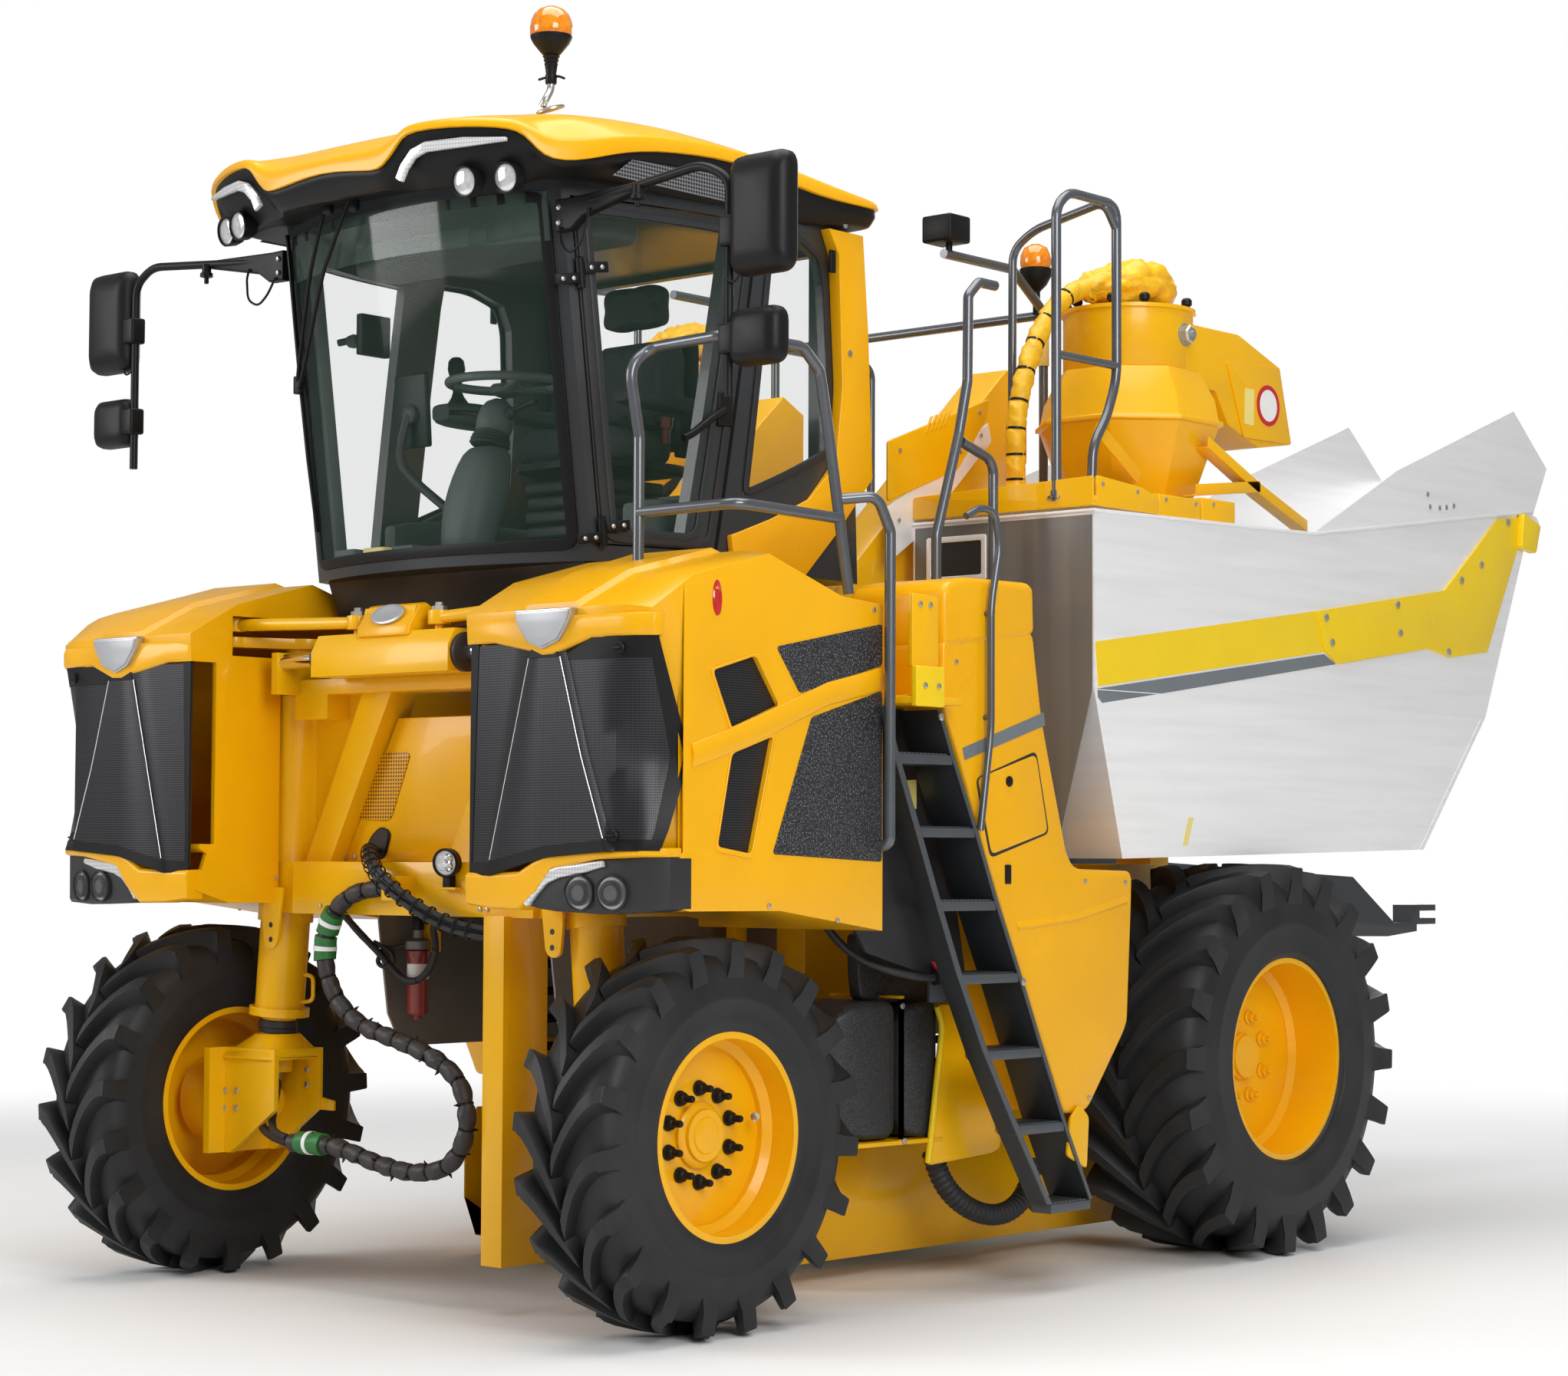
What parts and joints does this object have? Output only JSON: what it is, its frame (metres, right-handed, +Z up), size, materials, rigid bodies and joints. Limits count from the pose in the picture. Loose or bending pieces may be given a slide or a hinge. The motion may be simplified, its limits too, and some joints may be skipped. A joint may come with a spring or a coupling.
{
  "type": "grape harvester",
  "caption": "Self-propelled straddle machine on four wheels with a central picking tunnel, raised cab, two front pods and two tipping side hoppers.",
  "frame": {"origin": "on the ground below the middle of the whole machine's box", "axes": "+X the machine's left, -Y forward, +Z up"},
  "size_m": [3.25, 6.8598, 4.045],
  "materials": {
    "amber": "gloss",
    "tyre": "matte",
    "yellow": "gloss",
    "frame_yellow": "gloss",
    "stainless": "satin",
    "black_plastic": "satin",
    "dark_grey": "satin",
    "chrome": "polished",
    "grey_rail": "gloss",
    "green": "satin",
    "seat": "woven",
    "cast": "rough",
    "trim": "satin"
  },
  "bodies": {
    "root": {"beacon": "amber", "cab_fairings": "amber", "cab_roof": "amber", "cab_shell": "dark_grey", "catcher_scales": "green", "chassis_frame": "frame_yellow", "drawbar": "dark_grey", "elevators": "frame_yellow", "engine": "cast", "front_cover": "stainless", "front_legs": "frame_yellow", "handrails": "grey_rail", "hose_front": "black_plastic", "ladder": "dark_grey", "mirrors": "black_plastic", "pod_left": "yellow", "pod_right": "yellow", "rear_deck": "frame_yellow", "rear_frame": "frame_yellow", "rear_legs": "frame_yellow", "rear_rails": "grey_rail", "seat": "seat", "shakers": "black_plastic", "side_tank": "black_plastic", "side_towers": "yellow", "steering_column": "trim", "steering_rod": "chrome", "step_box": "frame_yellow", "troughs": "frame_yellow", "tunnel_lining": "frame_yellow"},
    "knuckle_left": {"knuckle_left": "frame_yellow"},
    "front_wheel_left": {"front_tyre_left": "tyre", "front_rim_left": "frame_yellow"},
    "rear_wheel_left": {"rear_tyre_left": "tyre", "rear_rim_left": "frame_yellow"},
    "grille_door_left": {"grille_left": "black_plastic"},
    "hopper_tip_left": {"hopper_left": "stainless", "fan_left": "amber", "walkway_left": "frame_yellow"},
    "tie_link_left": {"tie_rod_left": "frame_yellow"},
    "knuckle_right": {"knuckle_right": "frame_yellow"},
    "front_wheel_right": {"front_tyre_right": "tyre", "front_rim_right": "frame_yellow"},
    "rear_wheel_right": {"rear_tyre_right": "tyre", "rear_rim_right": "frame_yellow"},
    "grille_door_right": {"grille_right": "black_plastic"},
    "hopper_tip_right": {"hopper_right": "stainless", "fan_right": "amber", "walkway_right": "frame_yellow"},
    "tie_link_right": {"tie_rod_right": "frame_yellow"},
    "steering_slider": {"steering_cylinder": "frame_yellow"},
    "cab_door_body": {"cab_door": "dark_grey"},
    "steering_wheel_body": {"steering_wheel": "trim"}
  },
  "joints": [
    {"name": "steer_left", "type": "hinge", "parent": "root", "child": "knuckle_left", "pos_m": [0.753, -2.845, 0.859], "axis": [-0.0872, 0, 0.9962], "range_deg": [-45, 45]},
    {"name": "steer_right", "type": "hinge", "parent": "root", "child": "knuckle_right", "pos_m": [-0.753, -2.845, 0.859], "axis": [0.0872, 0, 0.9962], "range_deg": [-45, 45]},
    {"name": "front_wheel_left_spin", "type": "hinge", "parent": "knuckle_left", "child": "front_wheel_left", "pos_m": [1.12, -2.845, 0.585], "axis": [1, 0, 0], "continuous": true},
    {"name": "front_wheel_right_spin", "type": "hinge", "parent": "knuckle_right", "child": "front_wheel_right", "pos_m": [-1.12, -2.845, 0.585], "axis": [1, 0, 0], "continuous": true},
    {"name": "rear_wheel_left_spin", "type": "hinge", "parent": "root", "child": "rear_wheel_left", "pos_m": [1.15, -0.003, 0.695], "axis": [1, 0, 0], "continuous": true},
    {"name": "rear_wheel_right_spin", "type": "hinge", "parent": "root", "child": "rear_wheel_right", "pos_m": [-1.15, -0.003, 0.695], "axis": [1, 0, 0], "continuous": true},
    {"name": "steering_slide", "type": "slide", "parent": "root", "child": "steering_slider", "axis": [1, 0, 0], "range_m": [-0.18, 0.18]},
    {"name": "tie_rod_left_swing", "type": "hinge", "parent": "steering_slider", "child": "tie_link_left", "pos_m": [0.19, -3.01, 2.15], "axis": [0, 0, 1], "range_deg": [-12, 12]},
    {"name": "tie_rod_right_swing", "type": "hinge", "parent": "steering_slider", "child": "tie_link_right", "pos_m": [-0.19, -3.01, 2.15], "axis": [0, 0, 1], "range_deg": [-12, 12]},
    {"name": "cab_door_hinge", "type": "hinge", "parent": "root", "child": "cab_door_body", "pos_m": [0.6715, -2.7636, 2.318], "axis": [0, 0.1317, -0.9913], "range_deg": [0, 70]},
    {"name": "grille_left_hinge", "type": "hinge", "parent": "root", "child": "grille_door_left", "pos_m": [0.659, -3.302, 1.7], "axis": [0, 0, -1], "range_deg": [0, 90]},
    {"name": "hopper_left_tip", "type": "hinge", "parent": "root", "child": "hopper_tip_left", "pos_m": [0.69, 1.755, 2.735], "axis": [-1, 0, 0], "range_deg": [0, 55]},
    {"name": "grille_right_hinge", "type": "hinge", "parent": "root", "child": "grille_door_right", "pos_m": [-0.659, -3.302, 1.7], "axis": [0, 0, 1], "range_deg": [0, 90]},
    {"name": "hopper_right_tip", "type": "hinge", "parent": "root", "child": "hopper_tip_right", "pos_m": [-0.69, 1.755, 2.735], "axis": [-1, 0, 0], "range_deg": [0, 55]},
    {"name": "steering_wheel_turn", "type": "hinge", "parent": "root", "child": "steering_wheel_body", "pos_m": [0, -2.545, 2.958], "axis": [0, 0, 1], "range_deg": [-240, 240]}
  ],
  "couplings": [
    {"joint": "steer_right", "follows": "steer_left", "ratio": 1},
    {"joint": "steering_slide", "follows": "steer_left", "m_per_rad": 0.2116},
    {"joint": "tie_rod_left_swing", "follows": "steer_left", "ratio": 0.145},
    {"joint": "tie_rod_right_swing", "follows": "steer_left", "ratio": 0.145},
    {"joint": "steering_wheel_turn", "follows": "steer_left", "ratio": 5}
  ]
}
